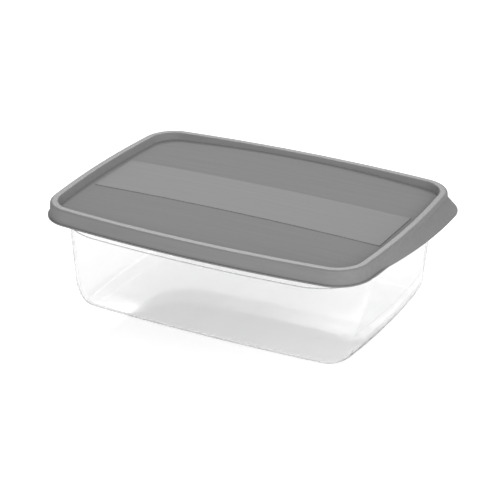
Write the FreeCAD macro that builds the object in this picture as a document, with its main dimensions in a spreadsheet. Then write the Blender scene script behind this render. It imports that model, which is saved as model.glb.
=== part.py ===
"""Food storage container: a clear tub with a flange round its mouth, and a lid with a lift tab.

Frame: millimetres, +X along the long sides, +Z up, origin at the middle of the tub's flat underside.
"""
import FreeCAD, Part
import math
import os
import Sketcher

SIZES = {
    # lid, in plan
    "lid_length": 242.4,
    "lid_width": 171.0,
    "lid_corner": 25.0,
    "lid_long_arc": 995.0,
    "lid_short_arc": 613.0,
    # lid, in section
    "lid_wall": 1.2,
    "lid_height": 10.4,
    "lip_width": 1.2,
    "lip_thickness": 0.9,
    "skirt_draft": 0.8,
    "bead_round": 1.8,
    "bead_width": 7.2,
    "recess_depth": 5.2,
    "recess_slope": 1.4,
    "recess_edge_round": 0.8,
    "crown_rise": 2.0,
    "strip_length": 214.0,
    "strip_width": 47.0,
    "strip_rise": 0.4,
    # lift tab, along one short side of the lid
    "tab_reach": 7.4,
    "tab_swell": 0.66,
    "tab_start": 46.0,
    "tab_end": 52.3,
    "tab_nose": 12.5,
    "tab_height": 8.2,
    # tub, in plan at its mouth
    "mouth_length": 230.6,
    "mouth_width": 159.0,
    "mouth_corner": 42.0,
    # tub, in plan at the foot of its straight wall
    "wall_foot_length": 213.6,
    "wall_foot_width": 143.4,
    "wall_foot_corner": 20.0,
    # tub, in plan at its flat underside
    "base_length": 193.4,
    "base_width": 123.4,
    "base_corner": 10.0,
    "tub_long_arc": 1600.0,
    "tub_short_arc": 560.0,
    # tub, in section
    "tub_wall": 1.1,
    "tub_floor": 1.3,
    "tub_depth": 65.6,
    "collar_drop": 7.0,
    "collar_step": 0.5,
    "collar_draft": 0.8,
    "foot_height": 20.0,
    "flange_thickness": 1.2,
    # clearance between the flange and the lid's skirt
    "flange_gap": 0.4,
}

# Levels of the sections through the tub's rounded foot, as angles round its quarter ellipse.
FOOT_ANGLES = (0.0, 25.0, 50.0, 72.0, 90.0)
# The same through the hollow of the lid's bead.
BEAD_ANGLES = (0.0, 30.0, 60.0, 90.0)
# Levels above the underside.
SKIRT_LEVEL = "Dims.tub_depth"
CREST_LEVEL = "(Dims.tub_depth + Dims.lid_height)"
PANEL_LEVEL = "(Dims.tub_depth + Dims.lid_height - Dims.recess_depth)"
PANEL_UNDERSIDE = "(Dims.tub_depth + Dims.lid_height - Dims.recess_depth - Dims.lid_wall)"
COLLAR_LEVEL = "(Dims.tub_depth - Dims.collar_drop)"
# Inset of the tab's upper end, just behind the face of the skirt.
TAB_ROOT = "(Dims.lip_width + Dims.skirt_draft)"


class Outline:
    """A rounded rectangle with gently bowed sides, held as five size formulas."""

    NAMES = ("half_length", "half_width", "corner", "long_arc", "short_arc")

    def __init__(self, *formulas):
        for name, formula in zip(self.NAMES, formulas):
            setattr(self, name, formula)

    def inset(self, distance):
        """The parallel outline inside this one."""
        return Outline(*(f"({getattr(self, name)} - ({distance}))" for name in self.NAMES))


LID = Outline("Dims.lid_length / 2", "Dims.lid_width / 2", "Dims.lid_corner",
              "Dims.lid_long_arc", "Dims.lid_short_arc")
MOUTH = Outline("Dims.mouth_length / 2", "Dims.mouth_width / 2", "Dims.mouth_corner",
                "Dims.lid_long_arc", "Dims.lid_short_arc")
WALL_FOOT = Outline("Dims.wall_foot_length / 2", "Dims.wall_foot_width / 2", "Dims.wall_foot_corner",
                    "Dims.tub_long_arc", "Dims.tub_short_arc")
RECESS_TOP = LID.inset("Dims.bead_width")
RECESS_FOOT = RECESS_TOP.inset("Dims.recess_slope")
BASE = Outline("Dims.base_length / 2", "Dims.base_width / 2", "Dims.base_corner",
               "Dims.tub_long_arc", "Dims.tub_short_arc")


def between(outer, inner, share):
    """The outline a share of the way from one outline to another."""
    return Outline(*(f"({getattr(outer, name)} * {1 - share:.6f} + {getattr(inner, name)} * {share:.6f})"
                     for name in Outline.NAMES))


def make_sheet(doc):
    """Put every driving size into the spreadsheet, under its alias."""
    sheet = doc.addObject("Spreadsheet::Sheet", "Dims")
    for row, (alias, value) in enumerate(SIZES.items(), start=1):
        sheet.set(f"A{row}", alias)
        sheet.set(f"B{row}", str(value))
        sheet.setAlias(f"B{row}", alias)
    doc.recompute()


def plane_of(body, role):
    """One of the body's own origin planes."""
    return next(item for item in body.Origin.OriginFeatures if item.Role == role)


def new_sketch(body, name, role="XY_Plane", level="0"):
    """A sketch on an origin plane of the body, raised by a size formula."""
    sketch = body.newObject("Sketcher::SketchObject", name)
    sketch.AttachmentSupport = [(plane_of(body, role), "")]
    sketch.MapMode = "FlatFace"
    sketch.setExpression("AttachmentOffset.Base.z", level)
    return sketch


def bind(sketch, formula, *constraint):
    """Add a driving constraint whose value follows a size formula."""
    value = float(sketch.evalExpression(formula))
    index = sketch.addConstraint(Sketcher.Constraint(*constraint, value))
    sketch.setExpression(f"Constraints[{index}]", formula)


def arc(centre, radius, start, end):
    """An arc between two angles in degrees, counterclockwise."""
    circle = Part.Circle(FreeCAD.Vector(*centre, 0), FreeCAD.Vector(0, 0, 1), radius)
    return Part.ArcOfCircle(circle, math.radians(start), math.radians(end))


def corner_centre(size):
    """Where the circle of the back right corner touches both side arcs from inside."""
    long_y = size["half_width"] - size["long_arc"]
    short_x = size["half_length"] - size["short_arc"]
    to_long = size["long_arc"] - size["corner"]
    to_short = size["short_arc"] - size["corner"]
    span = math.hypot(short_x, long_y)
    along = (to_long ** 2 - to_short ** 2 + span ** 2) / (2 * span)
    aside = math.sqrt(to_long ** 2 - along ** 2)
    unit_x, unit_y = short_x / span, -long_y / span
    return (along * unit_x + aside * unit_y, long_y + along * unit_y - aside * unit_x)


def draw_outline(sketch, outline):
    """Eight tangent arcs: four bowed sides and four corners, all driven by the outline's formulas."""
    size = {name: float(sketch.evalExpression(getattr(outline, name))) for name in Outline.NAMES}
    x, y = corner_centre(size)
    long_y = size["half_width"] - size["long_arc"]
    short_x = size["half_length"] - size["short_arc"]
    low = math.degrees(math.atan2(y, x - short_x))
    high = math.degrees(math.atan2(y - long_y, x))
    first = sketch.GeometryCount
    sketch.addGeometry([
        arc((short_x, 0), size["short_arc"], -low, low),
        arc((x, y), size["corner"], low, high),
        arc((0, long_y), size["long_arc"], high, 180 - high),
        arc((-x, y), size["corner"], 180 - high, 180 - low),
        arc((-short_x, 0), size["short_arc"], 180 - low, 180 + low),
        arc((-x, -y), size["corner"], 180 + low, 180 + high),
        arc((0, -long_y), size["long_arc"], 180 + high, 360 - high),
        arc((x, -y), size["corner"], 360 - high, 360 - low),
    ], False)
    right, back, left, front = first, first + 2, first + 4, first + 6
    for step in range(8):
        following = first + (step + 1) % 8
        sketch.addConstraint(Sketcher.Constraint("Tangent", first + step, 2, following, 1))
    for side in (right, left):
        sketch.addConstraint(Sketcher.Constraint("PointOnObject", side, 3, -1))
        bind(sketch, outline.short_arc, "Radius", side)
    for side in (back, front):
        sketch.addConstraint(Sketcher.Constraint("PointOnObject", side, 3, -2))
        bind(sketch, outline.long_arc, "Radius", side)
    for step in (1, 3, 5, 7):
        bind(sketch, outline.corner, "Radius", first + step)
    bind(sketch, f"{outline.short_arc} - {outline.half_length}", "DistanceX", right, 3, -1, 1)
    bind(sketch, f"{outline.short_arc} - {outline.half_length}", "DistanceX", -1, 1, left, 3)
    bind(sketch, f"{outline.long_arc} - {outline.half_width}", "DistanceY", back, 3, -1, 1)
    bind(sketch, f"{outline.long_arc} - {outline.half_width}", "DistanceY", -1, 1, front, 3)


def section(body, name, outline, level):
    """A sketch of one outline at a level."""
    sketch = new_sketch(body, name, level=level)
    draw_outline(sketch, outline)
    return sketch


def loft(body, name, kind, sections, ruled):
    """Join sketches into a solid that is added or cut."""
    feature = body.newObject(f"PartDesign::{kind}Loft", name)
    feature.Profile = (sections[0], [""])
    feature.Sections = [(item, [""]) for item in sections[1:]]
    feature.Ruled = ruled
    return feature


def extrude(body, name, kind, sketch, length, reverse=False, midplane=False):
    """Pad or pocket a sketch by a size formula."""
    feature = body.newObject(f"PartDesign::{kind}", name)
    feature.Profile = (sketch, [""])
    feature.setExpression("Length", length)
    feature.Reversed = reverse
    feature.Midplane = midplane
    return feature


def level_of(feature, formula):
    """The value of a level formula, for picking edges by height."""
    return float(feature.evalExpression(formula))


def edges_within(feature, outline, low, high, tolerance=0.05):
    """Names of a feature's edges that lie inside an outline's box and between two levels."""
    reach = level_of(feature, outline.half_length) + tolerance
    depth = level_of(feature, outline.half_width) + tolerance
    floor = level_of(feature, low) - tolerance
    ceiling = level_of(feature, high) + tolerance
    names = []
    for number, edge in enumerate(feature.Shape.Edges, start=1):
        box = edge.BoundBox
        if (max(-box.XMin, box.XMax) < reach and max(-box.YMin, box.YMax) < depth
                and box.ZMin > floor and box.ZMax < ceiling):
            names.append(f"Edge{number}")
    return names


def round_edges(body, name, base, edges, radius):
    """Round named edges of a feature by a size formula."""
    feature = body.newObject("PartDesign::Fillet", name)
    feature.Base = (base, edges)
    feature.setExpression("Radius", radius)
    return feature


def foot_section(angle, wall, floor):
    """Outline and level at an angle round the foot, moved inwards by the wall and up by the floor."""
    share = 1 - math.cos(math.radians(angle))
    rise = 1 - math.sin(math.radians(angle))
    outer = between(WALL_FOOT, BASE, share)
    outline = outer.inset(f"{wall} * {1 - share:.6f}")
    level = f"({floor} + (Dims.foot_height - {floor}) * {rise:.6f})"
    return outline, level


def tub_stack(body, tag, kind, wall, floor, top):
    """The tub's outer form, or the same form moved inwards as its inside."""
    foot = []
    for number, angle in enumerate(reversed(FOOT_ANGLES)):
        outline, level = foot_section(angle, wall, floor)
        foot.append(section(body, f"{tag}_foot_{number}", outline, level))
    loft(body, f"{tag}_foot", kind, foot, ruled=False)
    collar = MOUTH.inset(f"Dims.collar_draft + {wall}")
    wall_sections = [
        section(body, f"{tag}_wall_low", WALL_FOOT.inset(wall), "Dims.foot_height"),
        section(body, f"{tag}_wall_high", collar.inset("Dims.collar_step"), COLLAR_LEVEL),
    ]
    loft(body, f"{tag}_wall", kind, wall_sections, ruled=True)
    collar_sections = [
        section(body, f"{tag}_collar_low", collar, COLLAR_LEVEL),
        section(body, f"{tag}_collar_high", MOUTH.inset(wall), top),
    ]
    return loft(body, f"{tag}_collar", kind, collar_sections, ruled=True)


def make_tub(doc):
    """The clear tub: rounded foot, tapered wall, collar, and a flat flange round the mouth."""
    body = doc.addObject("PartDesign::Body", "tub")
    flange_edge = LID.inset("(Dims.lip_width + Dims.lid_wall + Dims.skirt_draft + Dims.flange_gap)")
    flange_level = f"({PANEL_UNDERSIDE} - Dims.flange_thickness)"
    tub_stack(body, "outer", "Additive", "0", "0", PANEL_UNDERSIDE)
    flange = section(body, "flange_plan", flange_edge, flange_level)
    extrude(body, "flange", "Pad", flange, "Dims.flange_thickness")
    tub_stack(body, "inner", "Subtractive", "Dims.tub_wall", "Dims.tub_floor", PANEL_UNDERSIDE)
    doc.recompute()
    return body


def draw_crown(sketch, half_length, low):
    """A shallow circular segment standing on a level line."""
    rise = "Dims.crown_rise"
    half = float(sketch.evalExpression(half_length))
    base = float(sketch.evalExpression(low))
    top = base + float(sketch.evalExpression(rise))
    left = FreeCAD.Vector(-half, base, 0)
    right = FreeCAD.Vector(half, base, 0)
    crest = FreeCAD.Vector(0, top, 0)
    sketch.addGeometry(Part.LineSegment(left, right), False)
    sketch.addGeometry(Part.Arc(right, crest, left), False)
    for constraint in (("Coincident", 0, 2, 1, 1), ("Coincident", 0, 1, 1, 2), ("Horizontal", 0),
                       ("PointOnObject", 1, 3, -2)):
        sketch.addConstraint(Sketcher.Constraint(*constraint))
    bind(sketch, f"2 * ({half_length})", "DistanceX", 0, 1, 0, 2)
    bind(sketch, low, "DistanceY", -1, 1, 0, 2)
    bind(sketch, f"(({half_length}) ^ 2 + ({rise}) ^ 2) / (2 * ({rise}))", "Radius", 1)


def crown(body, name, kind, half_length, low, width):
    """Add or cut a slab that is bowed upwards along the lid's length."""
    sketch = new_sketch(body, f"{name}_side", role="XZ_Plane")
    draw_crown(sketch, half_length, low)
    return extrude(body, name, kind, sketch, width, midplane=True)


def draw_strip(sketch, half_length, low, crown_half):
    """The strip seen from the front: upright ends and a top parallel to the crowned panel."""
    rise = "Dims.crown_rise"
    radius = f"((({crown_half}) ^ 2 + ({rise}) ^ 2) / (2 * ({rise})) + Dims.strip_rise)"
    centre = f"({low} + {rise} + Dims.strip_rise - {radius})"
    half = float(sketch.evalExpression(half_length))
    base = float(sketch.evalExpression(low))
    middle = float(sketch.evalExpression(centre))
    top = middle + math.sqrt(float(sketch.evalExpression(radius)) ** 2 - half ** 2)
    corners = [FreeCAD.Vector(x, y, 0) for x, y in ((-half, top), (-half, base), (half, base), (half, top))]
    crest = FreeCAD.Vector(0, middle + float(sketch.evalExpression(radius)), 0)
    lines = [Part.LineSegment(start, end) for start, end in zip(corners, corners[1:])]
    sketch.addGeometry(lines + [Part.Arc(corners[3], crest, corners[0])], False)
    for side in range(4):
        sketch.addConstraint(Sketcher.Constraint("Coincident", side, 2, (side + 1) % 4, 1))
    for constraint in (("Vertical", 0), ("Horizontal", 1), ("Vertical", 2), ("PointOnObject", 3, 3, -2)):
        sketch.addConstraint(Sketcher.Constraint(*constraint))
    bind(sketch, f"2 * ({half_length})", "DistanceX", 1, 1, 1, 2)
    bind(sketch, half_length, "DistanceX", -1, 1, 1, 2)
    bind(sketch, low, "DistanceY", -1, 1, 1, 2)
    bind(sketch, radius, "Radius", 3)
    bind(sketch, f"-{centre}", "DistanceY", 3, 3, -1, 1)


def put_point(sketch, geometry, end, point):
    """Bind a point's two coordinates to its pair of size formulas."""
    bind(sketch, point[0], "DistanceX", -1, 1, geometry, end)
    bind(sketch, point[1], "DistanceY", -1, 1, geometry, end)


def tab_points(reach, root_inset):
    """Five points of the tab in plan, as formulas: root, swell, tip, turn and shoulder."""
    side = "Dims.lid_length / 2"
    nose = "Dims.tab_nose"
    start = "Dims.tab_start"
    end = "Dims.tab_end"
    tip_x = f"({side} - {end} ^ 2 / (2 * Dims.lid_short_arc) + {reach})"
    return [
        (f"{side} - {start} ^ 2 / (2 * Dims.lid_short_arc) - ({root_inset})", f"-{start}"),
        (f"{side} - ({root_inset}) + (({reach}) + ({root_inset})) * Dims.tab_swell", "0"),
        (tip_x, end),
        (f"{tip_x} - {nose} * 0.18", f"{end} + {nose} * 0.68"),
        (f"{tip_x} - {nose}", f"{end} + {nose} * 1.68"),
    ]


def draw_tab(sketch, reach, root_inset):
    """The tab in plan: it leaves the short side, swells to its full reach and turns back at the nose."""
    points = tab_points(reach, root_inset)
    inner = "Dims.lid_length / 2 - 2 * Dims.lid_corner"
    points += [(inner, points[4][1]), (inner, points[0][1])]
    root, swell, tip, turn, shoulder, inner_end, inner_start = (
        FreeCAD.Vector(*(float(sketch.evalExpression(text)) for text in point), 0) for point in points)
    sketch.addGeometry([
        Part.Arc(root, swell, tip),
        Part.Arc(tip, turn, shoulder),
        Part.LineSegment(shoulder, inner_end),
        Part.LineSegment(inner_end, inner_start),
        Part.LineSegment(inner_start, root),
    ], False)
    sketch.addGeometry([Part.Point(swell), Part.Point(turn)], True)
    for side in range(5):
        sketch.addConstraint(Sketcher.Constraint("Coincident", side, 2, (side + 1) % 5, 1))
    put_point(sketch, 0, 1, points[0])
    put_point(sketch, 1, 1, points[2])
    put_point(sketch, 2, 1, points[4])
    put_point(sketch, 3, 1, points[5])
    put_point(sketch, 4, 1, points[6])
    put_point(sketch, 5, 1, points[1])
    put_point(sketch, 6, 1, points[3])
    sketch.addConstraint(Sketcher.Constraint("PointOnObject", 5, 1, 0))
    sketch.addConstraint(Sketcher.Constraint("PointOnObject", 6, 1, 1))


def tab_section(body, name, reach, root_inset, level):
    """A sketch of the tab's plan at a level."""
    sketch = new_sketch(body, name, level=level)
    draw_tab(sketch, reach, root_inset)
    return sketch


def make_lid_outside(body):
    """The lip, the skirt with its rounded bead, and the lift tab flaring from the skirt."""
    lip = section(body, "lip_plan", LID, SKIRT_LEVEL)
    extrude(body, "lip", "Pad", lip, "Dims.lip_thickness")
    skirt = LID.inset("Dims.lip_width")
    skirt_sections = [
        section(body, "skirt_low", skirt, SKIRT_LEVEL),
        section(body, "skirt_high", skirt.inset("Dims.skirt_draft"), CREST_LEVEL),
    ]
    rim = loft(body, "rim", "Additive", skirt_sections, ruled=True)
    body.Document.recompute()
    crest_edges = edges_within(rim, LID, CREST_LEVEL, CREST_LEVEL)
    round_edges(body, "bead", rim, crest_edges, "Dims.bead_round")
    tab_sections = [
        tab_section(body, "tab_low", "Dims.tab_reach", "Dims.lip_width", SKIRT_LEVEL),
        tab_section(body, "tab_high", f"(0 - {TAB_ROOT})", TAB_ROOT, f"({SKIRT_LEVEL} + Dims.tab_height)"),
    ]
    loft(body, "tab", "Additive", tab_sections, ruled=True)


def make_lid_underside(body):
    """The hollow skirt and bead, the tab's hollow, and then the sloping core that carries the panel."""
    skin = "Dims.lid_wall"
    spring = f"({CREST_LEVEL} - Dims.bead_round)"
    low = LID.inset(f"Dims.lip_width + {skin}")
    high = low.inset("Dims.skirt_draft")
    straight = [section(body, "hollow_low", low, SKIRT_LEVEL), section(body, "hollow_spring", high, spring)]
    loft(body, "skirt_hollow", "Subtractive", straight, ruled=True)
    turn = []
    for number, angle in enumerate(BEAD_ANGLES):
        radius = f"(Dims.bead_round - {skin})"
        inwards = f"{radius} * {1 - math.cos(math.radians(angle)):.6f}"
        level = f"({spring} + {radius} * {math.sin(math.radians(angle)):.6f})"
        turn.append(section(body, f"hollow_turn_{number}", high.inset(inwards), level))
    loft(body, "bead_hollow", "Subtractive", turn, ruled=True)
    hollow_sections = [
        tab_section(body, "tab_hollow_low", f"(Dims.tab_reach - 1.5 * {skin})", f"Dims.lip_width + {skin}",
                    SKIRT_LEVEL),
        tab_section(body, "tab_hollow_high", f"(0 - {TAB_ROOT} - 1.5 * {skin})", f"{TAB_ROOT} + {skin}",
                    f"({SKIRT_LEVEL} + Dims.tab_height - {skin} / 2)"),
    ]
    loft(body, "tab_hollow", "Subtractive", hollow_sections, ruled=True)
    core_sections = [
        section(body, "core_low", RECESS_FOOT.inset(f"0 - {skin}"), PANEL_UNDERSIDE),
        section(body, "core_high", RECESS_TOP.inset(f"0 - {skin}"), CREST_LEVEL),
    ]
    loft(body, "core", "Additive", core_sections, ruled=True)


def make_recess_space(doc):
    """The space of the lid's recess: sloping sides over a floor that is crowned along the length."""
    body = doc.addObject("PartDesign::Body", "recess_space")
    recess_sections = [
        section(body, "recess_top", RECESS_TOP, CREST_LEVEL),
        section(body, "recess_foot", RECESS_FOOT, PANEL_LEVEL),
    ]
    loft(body, "recess", "Additive", recess_sections, ruled=True)
    crown(body, "recess_floor", "Pocket", RECESS_TOP.half_length, PANEL_LEVEL, f"2 * {RECESS_TOP.half_width}")
    return body


def make_lid_panel(body, space):
    """The recess inside the bead, its rounded upper edge and the raised strip along the crowned panel."""
    recess = body.newObject("PartDesign::Boolean", "recess_cut")
    recess.setObjects([space])
    recess.Type = "Cut"
    body.Document.recompute()
    top_edges = edges_within(recess, RECESS_TOP, CREST_LEVEL, CREST_LEVEL)
    round_edges(body, "recess_edge", recess, top_edges, "Dims.recess_edge_round")
    strip = new_sketch(body, "strip_side", role="XZ_Plane")
    draw_strip(strip, "Dims.strip_length / 2", PANEL_LEVEL, RECESS_TOP.half_length)
    extrude(body, "strip", "Pad", strip, "Dims.strip_width", midplane=True)
    crown(body, "under_crown", "Pocket", f"({RECESS_FOOT.half_length} - Dims.bead_width)", PANEL_UNDERSIDE,
          f"2 * ({RECESS_FOOT.half_width} - Dims.bead_width)")


def make_lid(doc):
    """The lid, one thin moulding."""
    space = make_recess_space(doc)
    body = doc.addObject("PartDesign::Body", "lid")
    make_lid_outside(body)
    make_lid_underside(body)
    make_lid_panel(body, space)
    doc.recompute()
    return body


def check(doc, bodies):
    """Stop if any object failed or any body is not one sound solid."""
    failed = [item.Name for item in doc.Objects if {"Invalid", "Error"} & set(item.State)]
    failed += [item.Name for item in doc.Objects
               if hasattr(item, "Shape") and (item.Shape.isNull() or not item.Shape.isValid())]
    failed += [body.Name for body in bodies if len(body.Shape.Solids) != 1]
    if failed:
        raise RuntimeError(f"failed objects: {failed}")


def main():
    doc = FreeCAD.newDocument("container")
    make_sheet(doc)
    bodies = [make_tub(doc), make_lid(doc)]
    doc.recompute()
    check(doc, bodies)
    os.makedirs("parts", exist_ok=True)
    for body in bodies:
        print(body.Label, "volume", round(body.Shape.Volume), body.Shape.BoundBox)
        body.Shape.exportStep(f"parts/{body.Label}.step")


main()
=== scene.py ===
"""Looks of a food storage container: a clear tub under a grey lid.

The lid has a sunk panel, a raised strip and a lift tab.

Frame: metres, +X along the long sides, +Z up, origin at the middle of the tub's underside.
"""

import math

import bmesh
import bpy
from mathutils import Matrix, Vector


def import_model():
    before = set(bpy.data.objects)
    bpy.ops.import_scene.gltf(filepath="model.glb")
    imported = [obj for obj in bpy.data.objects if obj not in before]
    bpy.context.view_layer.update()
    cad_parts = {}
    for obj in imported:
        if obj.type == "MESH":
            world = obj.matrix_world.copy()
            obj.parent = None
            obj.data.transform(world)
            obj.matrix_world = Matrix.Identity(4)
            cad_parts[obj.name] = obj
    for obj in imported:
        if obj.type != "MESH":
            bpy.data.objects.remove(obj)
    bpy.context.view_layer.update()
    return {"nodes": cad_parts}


MM = 0.001

# places on the object
LID_SIDE = 66.0 * MM
STRIP_END = 107.0 * MM
STRIP_HALF = 23.5 * MM
STRIP_FADE = 0.1 * MM
BEAD_LEVEL = 75.88 * MM
FLOOR_HALF = 6.0

# lid finish
LID_GREY = (0.222, 0.222, 0.223, 1.0)
PANEL_ROUGHNESS = 0.8
STRIP_ROUGHNESS = 0.60
BEAD_ROUGHNESS = 0.32
PANEL_ROUGHNESS_SWING = 0.12
LID_SHADE_SWING = 0.22
LID_BUMP_DEPTH = 0.02 * MM
LID_BUMP_STRENGTH = 0.35

# tub finish
TUB_TINT = (0.992, 0.994, 0.994, 1.0)
TUB_PASS = (0.96, 0.96, 0.96, 1.0)
TUB_IOR = 1.33
TUB_TRANSMISSION = 0.97
TUB_ROUGHNESS = 0.06
TUB_ROUGHNESS_SWING = 0.05
TUB_BUMP_DEPTH = 0.05 * MM
TUB_BUMP_STRENGTH = 0.04

# moulded pattern: grain size, streak length, streak width
LID_PATTERN = (0.5 * MM, 90 * MM, 2.6 * MM)
TUB_PATTERN = (3.0 * MM, 60 * MM, 9 * MM)

# floor and light, as shares of plain white
FLOOR_WHITE = (0.84, 0.84, 0.84, 1.0)
WORLD_LIGHT = 0.42
OPEN_GLOW = 0.6
INNER_GLOW = 0.42
REFLECTED_GLOW = 0.1
SEEN_WHITE = 1.0
PLAIN_WHITE = (1, 1, 1, 1)

# lamps: place, target, side in metres, watts
LAMPS = {
    "key": ((-1.37, 1.88, 1.41), (0, 0, 0.04), 0.09, 26),
    "sheen": ((-0.86, 1.45, 1.4), (0, 0, 0.07), 0.9, 10),
    "front": ((1.1, -1.9, 0.6), (0, 0, 0.04), 1.2, 31),
    "side": ((2.0, 0.6, 1.1), (0, 0, 0.04), 1.2, 11),
}

# camera: angles in degrees, distance in metres, lens in millimetres
VIEW_AZIMUTH = 29.415
VIEW_ELEVATION = 24.157
VIEW_ROLL = -0.907
VIEW_DISTANCE = 1.271
VIEW_LENS = 137.4
VIEW_SHIFT = (0.0012, -0.0835)


def add(tree, kind, values=(), **settings):
    """A node with its settings and its plain input values."""
    node = tree.nodes.new(kind)
    for name, value in settings.items():
        setattr(node, name, value)
    for socket, value in dict(values).items():
        node.inputs[socket].default_value = value
    return node


def math_node(tree, operation, first, second=None):
    """A Math node fed by sockets or numbers; gives its output socket."""
    node = add(tree, "ShaderNodeMath", operation=operation)
    for index, item in enumerate((first, second)):
        if item is None:
            continue
        if isinstance(item, (int, float)):
            node.inputs[index].default_value = item
        else:
            tree.links.new(item, node.inputs[index])
    return node.outputs[0]


def new_material(name):
    """An empty node material, with its output node."""
    material = bpy.data.materials.new(name)
    material.use_nodes = True
    tree = material.node_tree
    tree.nodes.clear()
    output = tree.nodes.new("ShaderNodeOutputMaterial")
    return material, tree, output


def object_axes(tree):
    """The object's own coordinates, as one vector and as X, Y and Z."""
    place = tree.nodes.new("ShaderNodeTexCoord").outputs["Object"]
    axes = tree.nodes.new("ShaderNodeSeparateXYZ")
    tree.links.new(place, axes.inputs[0])
    return place, axes.outputs


def mix_shaders(tree, factor, first, second):
    """Two shaders mixed by a factor; gives the output socket."""
    mix = tree.nodes.new("ShaderNodeMixShader")
    for index, socket in enumerate((factor, first.outputs[0], second.outputs[0])):
        tree.links.new(socket, mix.inputs[index])
    return mix.outputs[0]


def fade_inside(tree, value, limit):
    """1 where the size of a coordinate is under a limit, fading to 0 past it."""
    size = math_node(tree, "ABSOLUTE", value)
    node = add(tree, "ShaderNodeMapRange", {"From Min": limit - STRIP_FADE,
                                            "From Max": limit + STRIP_FADE,
                                            "To Min": 1.0, "To Max": 0.0})
    tree.links.new(size, node.inputs["Value"])
    return node.outputs[0]


def moulded_surface():
    """The surface of moulded plastic: a fine grain and faint long streaks, both round 0.5."""
    group = bpy.data.node_groups.new("moulded_surface", "ShaderNodeTree")
    for name in ("Grain Size", "Streak Length", "Streak Width"):
        group.interface.new_socket(name=name, in_out="INPUT", socket_type="NodeSocketFloat")
    for name in ("Grain", "Streak"):
        group.interface.new_socket(name=name, in_out="OUTPUT", socket_type="NodeSocketFloat")
    sizes = group.nodes.new("NodeGroupInput")
    results = group.nodes.new("NodeGroupOutput")
    place, axes = object_axes(group)
    grain = add(group, "ShaderNodeTexNoise", {"Detail": 2.0})
    group.links.new(place, grain.inputs["Vector"])
    fineness = math_node(group, "DIVIDE", 1.0, sizes.outputs["Grain Size"])
    group.links.new(fineness, grain.inputs["Scale"])
    stretched = group.nodes.new("ShaderNodeCombineXYZ")
    for axis, size in (("X", "Streak Length"), ("Y", "Streak Width"), ("Z", "Streak Width")):
        group.links.new(math_node(group, "DIVIDE", axes[axis], sizes.outputs[size]),
                        stretched.inputs[axis])
    streak = add(group, "ShaderNodeTexNoise", {"Scale": 1.0, "Detail": 3.0})
    group.links.new(stretched.outputs[0], streak.inputs["Vector"])
    group.links.new(grain.outputs[0], results.inputs["Grain"])
    group.links.new(streak.outputs[0], results.inputs["Streak"])
    return group


def place_moulded(tree, group, pattern):
    """The moulded surface in a material, with its own sizes; gives its grain and streak."""
    node = add(tree, "ShaderNodeGroup", node_tree=group)
    for socket, size in zip(node.inputs, pattern):
        socket.default_value = size
    return node.outputs["Grain"], node.outputs["Streak"]


def varied(tree, value, base, swing):
    """A value round a base that follows a pattern round 0.5."""
    centred = math_node(tree, "SUBTRACT", value, 0.5)
    return math_node(tree, "ADD", math_node(tree, "MULTIPLY", centred, swing), base)


def bump(tree, height, distance, strength):
    """A normal that follows a height."""
    node = add(tree, "ShaderNodeBump", {"Strength": strength, "Distance": distance})
    tree.links.new(height, node.inputs["Height"])
    return node.outputs[0]


def lid_plastic(moulded):
    """Satin grey plastic: dull and streaked on the panel, smoother on the strip and the bead."""
    material, tree, output = new_material("lid_plastic")
    axes = object_axes(tree)[1]
    grain, streak = place_moulded(tree, moulded, LID_PATTERN)
    strip_mask = math_node(tree, "MULTIPLY", fade_inside(tree, axes["Y"], STRIP_HALF),
                           fade_inside(tree, axes["X"], STRIP_END))
    bead_mask = math_node(tree, "GREATER_THAN", axes["Z"], BEAD_LEVEL)
    smooth_strip = math_node(tree, "MULTIPLY", strip_mask, STRIP_ROUGHNESS - PANEL_ROUGHNESS)
    smooth_bead = math_node(tree, "MULTIPLY", bead_mask, BEAD_ROUGHNESS - PANEL_ROUGHNESS)
    smoothing = math_node(tree, "ADD", smooth_strip, smooth_bead)
    dull = varied(tree, streak, PANEL_ROUGHNESS, PANEL_ROUGHNESS_SWING)
    roughness = math_node(tree, "ADD", smoothing, dull)
    colour = add(tree, "ShaderNodeMix", {"Factor": 1.0}, data_type="RGBA", blend_type="MULTIPLY")
    colour.inputs["A"].default_value = LID_GREY
    tree.links.new(varied(tree, streak, 1.0, LID_SHADE_SWING), colour.inputs["B"])
    relief = bump(tree, grain, LID_BUMP_DEPTH, LID_BUMP_STRENGTH)
    surface = tree.nodes.new("ShaderNodeBsdfPrincipled")
    tree.links.new(colour.outputs["Result"], surface.inputs["Base Color"])
    tree.links.new(roughness, surface.inputs["Roughness"])
    tree.links.new(relief, surface.inputs["Normal"])
    tree.links.new(surface.outputs[0], output.inputs["Surface"])
    return material


def clear_plastic(moulded):
    """Clear plastic with a faint moulded pattern, which lets the light through to the floor."""
    material, tree, output = new_material("clear_plastic")
    grain, streak = place_moulded(tree, moulded, TUB_PATTERN)
    roughness = varied(tree, streak, TUB_ROUGHNESS, TUB_ROUGHNESS_SWING)
    relief = bump(tree, grain, TUB_BUMP_DEPTH, TUB_BUMP_STRENGTH)
    surface = add(tree, "ShaderNodeBsdfPrincipled", {"Base Color": TUB_TINT, "IOR": TUB_IOR,
                                                     "Transmission Weight": TUB_TRANSMISSION})
    tree.links.new(roughness, surface.inputs["Roughness"])
    tree.links.new(relief, surface.inputs["Normal"])
    clear = add(tree, "ShaderNodeBsdfTransparent", {"Color": TUB_PASS})
    path = tree.nodes.new("ShaderNodeLightPath").outputs
    lighting = math_node(tree, "MAXIMUM", path["Is Shadow Ray"], path["Is Diffuse Ray"])
    tree.links.new(mix_shaders(tree, lighting, surface, clear), output.inputs["Surface"])
    return material


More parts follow.
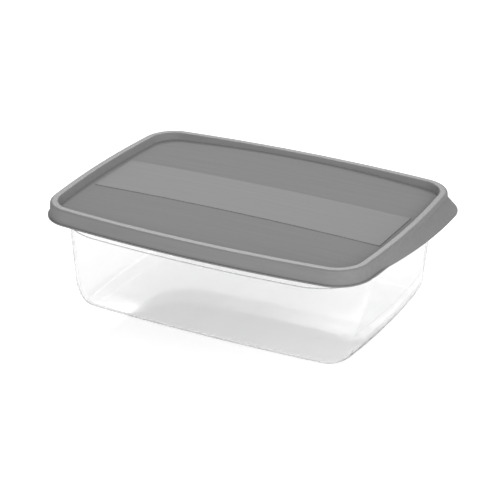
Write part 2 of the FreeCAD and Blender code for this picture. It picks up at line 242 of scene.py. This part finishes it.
def white_ground():
    """A pale floor that the camera sees as white, with some of the object's shadow left on it."""
    material, tree, output = new_material("white_ground")
    matt = add(tree, "ShaderNodeBsdfDiffuse", {"Color": FLOOR_WHITE})
    glow = add(tree, "ShaderNodeEmission", {"Color": PLAIN_WHITE})
    path = tree.nodes.new("ShaderNodeLightPath").outputs
    through = path["Is Transmission Ray"]
    reflected = math_node(tree, "SUBTRACT", path["Is Glossy Ray"], through)
    open_glow = math_node(tree, "MULTIPLY", path["Is Camera Ray"], OPEN_GLOW)
    inner_glow = math_node(tree, "MULTIPLY", through, INNER_GLOW)
    reflected_glow = math_node(tree, "MULTIPLY", reflected, REFLECTED_GLOW)
    brightest = math_node(tree, "MAXIMUM", inner_glow, reflected_glow)
    tree.links.new(math_node(tree, "MAXIMUM", open_glow, brightest), glow.inputs["Strength"])
    both = tree.nodes.new("ShaderNodeAddShader")
    tree.links.new(matt.outputs[0], both.inputs[0])
    tree.links.new(glow.outputs[0], both.inputs[1])
    tree.links.new(both.outputs[0], output.inputs["Surface"])
    return material


def add_floor():
    """A wide flat floor under the tub."""
    mesh = bpy.data.meshes.new("floor")
    shape = bmesh.new()
    bmesh.ops.create_grid(shape, x_segments=1, y_segments=1, size=FLOOR_HALF)
    shape.to_mesh(mesh)
    shape.free()
    mesh.materials.append(white_ground())
    floor = bpy.data.objects.new("floor", mesh)
    bpy.context.collection.objects.link(floor)


def add_world():
    """Even studio light all round, seen as white."""
    world = bpy.data.worlds.new("studio")
    world.use_nodes = True
    tree = world.node_tree
    tree.nodes.clear()
    output = tree.nodes.new("ShaderNodeOutputWorld")
    soft = add(tree, "ShaderNodeBackground", {"Color": PLAIN_WHITE, "Strength": WORLD_LIGHT})
    white = add(tree, "ShaderNodeBackground", {"Color": PLAIN_WHITE, "Strength": SEEN_WHITE})
    path = tree.nodes.new("ShaderNodeLightPath").outputs
    beyond = math_node(tree, "MAXIMUM", path["Is Glossy Ray"], path["Is Transmission Ray"])
    seen = math_node(tree, "MAXIMUM", path["Is Camera Ray"], beyond)
    tree.links.new(mix_shaders(tree, seen, soft, white), output.inputs["Surface"])
    bpy.context.scene.world = world


def add_lamp(name, place, target, size, watts):
    """A square area lamp that faces a point; gives the lamp."""
    data = bpy.data.lights.new(name, "AREA")
    data.size = size
    data.energy = watts
    lamp = bpy.data.objects.new(name, data)
    turn = (Vector(place) - Vector(target)).to_track_quat("Z", "Y").to_matrix().to_4x4()
    lamp.matrix_world = Matrix.Translation(place) @ turn
    bpy.context.collection.objects.link(lamp)
    return lamp


def add_camera():
    """The camera, aimed at the middle of the lid's lower edge."""
    azimuth = math.radians(VIEW_AZIMUTH)
    elevation = math.radians(VIEW_ELEVATION)
    roll = math.radians(VIEW_ROLL)
    back = Vector((math.sin(azimuth) * math.cos(elevation),
                   -math.cos(azimuth) * math.cos(elevation),
                   math.sin(elevation)))
    right = Vector((math.cos(azimuth), math.sin(azimuth), 0))
    up = back.cross(right)
    turned_right = right * math.cos(roll) + up * math.sin(roll)
    turned_up = up * math.cos(roll) - right * math.sin(roll)
    data = bpy.data.cameras.new("camera")
    data.lens = VIEW_LENS
    data.shift_x, data.shift_y = VIEW_SHIFT
    camera = bpy.data.objects.new("camera", data)
    turn = Matrix((turned_right, turned_up, back)).transposed().to_4x4()
    camera.matrix_world = Matrix.Translation(Vector((0, 0, LID_SIDE)) + back * VIEW_DISTANCE) @ turn
    bpy.context.collection.objects.link(camera)
    bpy.context.scene.camera = camera


def dress(node, material):
    """Give a node of the frame its finish."""
    node.data.materials.clear()
    node.data.materials.append(material)


def main():
    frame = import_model()
    moulded = moulded_surface()
    dress(frame["nodes"]["lid"], lid_plastic(moulded))
    dress(frame["nodes"]["tub"], clear_plastic(moulded))
    add_floor()
    add_world()
    lamps = {name: add_lamp(name, *numbers) for name, numbers in LAMPS.items()}
    lamps["key"].visible_glossy = False
    add_camera()
    bpy.context.scene.view_settings.view_transform = "Standard"


main()
